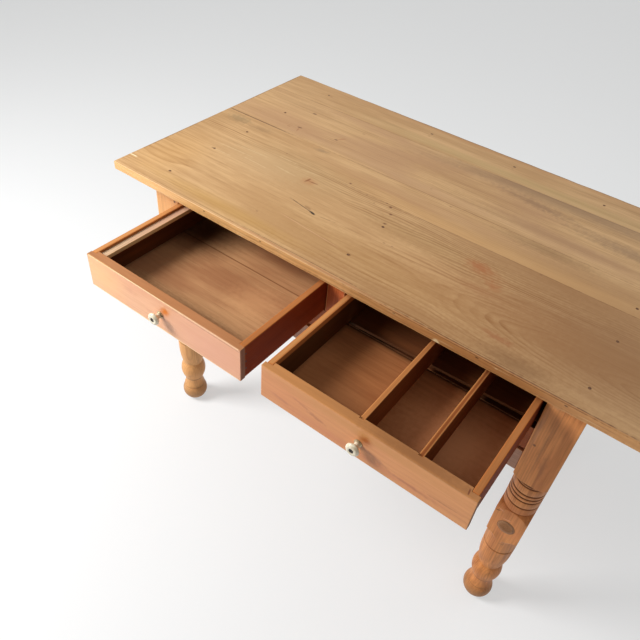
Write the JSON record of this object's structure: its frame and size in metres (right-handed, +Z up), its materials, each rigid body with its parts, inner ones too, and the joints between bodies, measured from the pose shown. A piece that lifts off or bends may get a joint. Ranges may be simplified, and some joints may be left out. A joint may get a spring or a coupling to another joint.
{
  "type": "bakers table",
  "caption": "Wooden work table with a boarded top, turned legs with ball feet, deep aprons and side-by-side front drawers with round knobs.",
  "frame": {"origin": "on the floor, midway between the ends of the top, and midway front to back between the knobs of the pulled-out drawers and the back edge of the top", "axes": "+X along the top to the right as seen from the front, +Y from the drawer fronts to the back, +Z up"},
  "size_m": [1.214, 0.923, 0.762],
  "materials": {
    "top_wood": "oiled pine, scrubbed and worn",
    "leg_wood": "varnished pine",
    "apron_wood": "varnished pine",
    "frame_wood": "bare aged pine",
    "drawer_front_wood": "reddish varnished wood",
    "drawer_side_wood": "bare aged wood, dark",
    "drawer_bottom_wood": "bare aged pine",
    "ledge_wood": "pale bare pine",
    "porcelain": "glossy cream glaze",
    "collar_metal": "tarnished brass",
    "iron": "dark rusted iron"
  },
  "bodies": {
    "frame": {"top_front_board": "top_wood", "top_middle_board": "top_wood", "top_back_board": "top_wood", "top_nails": "iron", "leg_front_left": "leg_wood", "leg_front_right": "leg_wood", "leg_back_left": "leg_wood", "leg_back_right": "leg_wood", "stretcher_left": "leg_wood", "stretcher_right": "leg_wood", "apron_left": "apron_wood", "apron_right": "apron_wood", "apron_back": "apron_wood", "front_top_rail": "apron_wood", "front_drawer_rail": "apron_wood", "front_apron_board": "apron_wood", "centre_stile": "apron_wood", "runner_left": "frame_wood", "runner_centre": "frame_wood", "runner_right": "frame_wood", "guide_left": "frame_wood", "guide_centre": "frame_wood", "guide_right": "frame_wood", "kicker_left": "frame_wood", "kicker_centre": "frame_wood", "kicker_right": "frame_wood"},
    "left_drawer": {"left_drawer_front": "drawer_front_wood", "left_drawer_left_side": "drawer_side_wood", "left_drawer_right_side": "drawer_side_wood", "left_drawer_back": "drawer_side_wood", "left_drawer_bottom_front": "drawer_bottom_wood", "left_drawer_bottom_back": "drawer_bottom_wood", "left_drawer_knob": "porcelain", "left_drawer_knob_collar": "collar_metal", "left_drawer_knob_screw": "iron", "left_drawer_nails": "iron", "left_drawer_ledge": "ledge_wood"},
    "right_drawer": {"right_drawer_front": "drawer_front_wood", "right_drawer_left_side": "drawer_side_wood", "right_drawer_right_side": "drawer_side_wood", "right_drawer_back": "drawer_side_wood", "right_drawer_bottom_front": "drawer_bottom_wood", "right_drawer_bottom_back": "drawer_bottom_wood", "right_drawer_knob": "porcelain", "right_drawer_knob_collar": "collar_metal", "right_drawer_knob_screw": "iron", "right_drawer_nails": "iron", "right_drawer_left_divider": "drawer_front_wood", "right_drawer_right_divider": "drawer_front_wood"}
  },
  "joints": [
    {"name": "left_drawer_slide", "type": "slide", "parent": "frame", "child": "left_drawer", "axis": [0, -1, 0], "range_m": [-0.255, 0.12]},
    {"name": "right_drawer_slide", "type": "slide", "parent": "frame", "child": "right_drawer", "axis": [0, -1, 0], "range_m": [-0.255, 0.12]}
  ]
}
